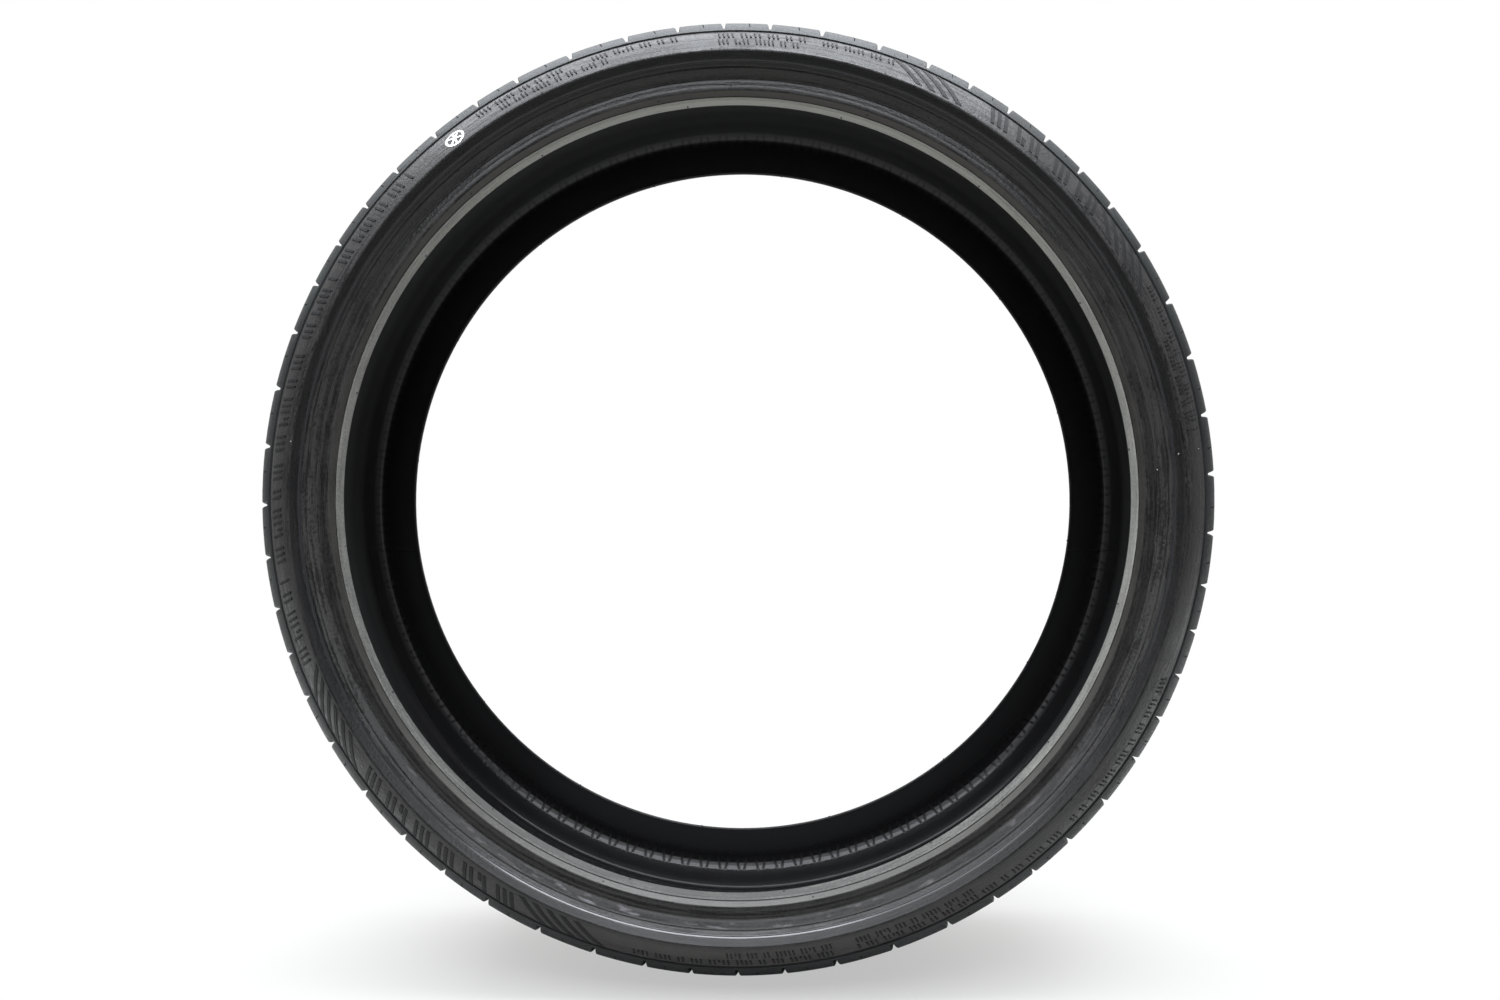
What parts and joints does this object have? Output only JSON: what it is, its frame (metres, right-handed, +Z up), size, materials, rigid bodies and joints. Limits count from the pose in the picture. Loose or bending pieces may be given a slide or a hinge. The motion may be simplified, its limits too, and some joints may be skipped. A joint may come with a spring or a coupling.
{
  "type": "car tyre",
  "caption": "Low-profile car tyre with straight tread grooves, notched shoulders, rim protector ribs and an open air chamber between two round bead seats.",
  "frame": {"origin": "the wheel's centre: on the axle, in the tyre's middle plane", "axes": "+Y along the axle, from the outside sidewall to the inside one, and +Z up with the tyre standing on its tread"},
  "size_m": [0.6399, 0.228, 0.64],
  "materials": {
    "tyre_rubber": "moulded black rubber, matte on the sidewalls and the bead soles"
  },
  "bodies": {
    "root": {"tyre": "tyre_rubber"}
  },
  "joints": []
}
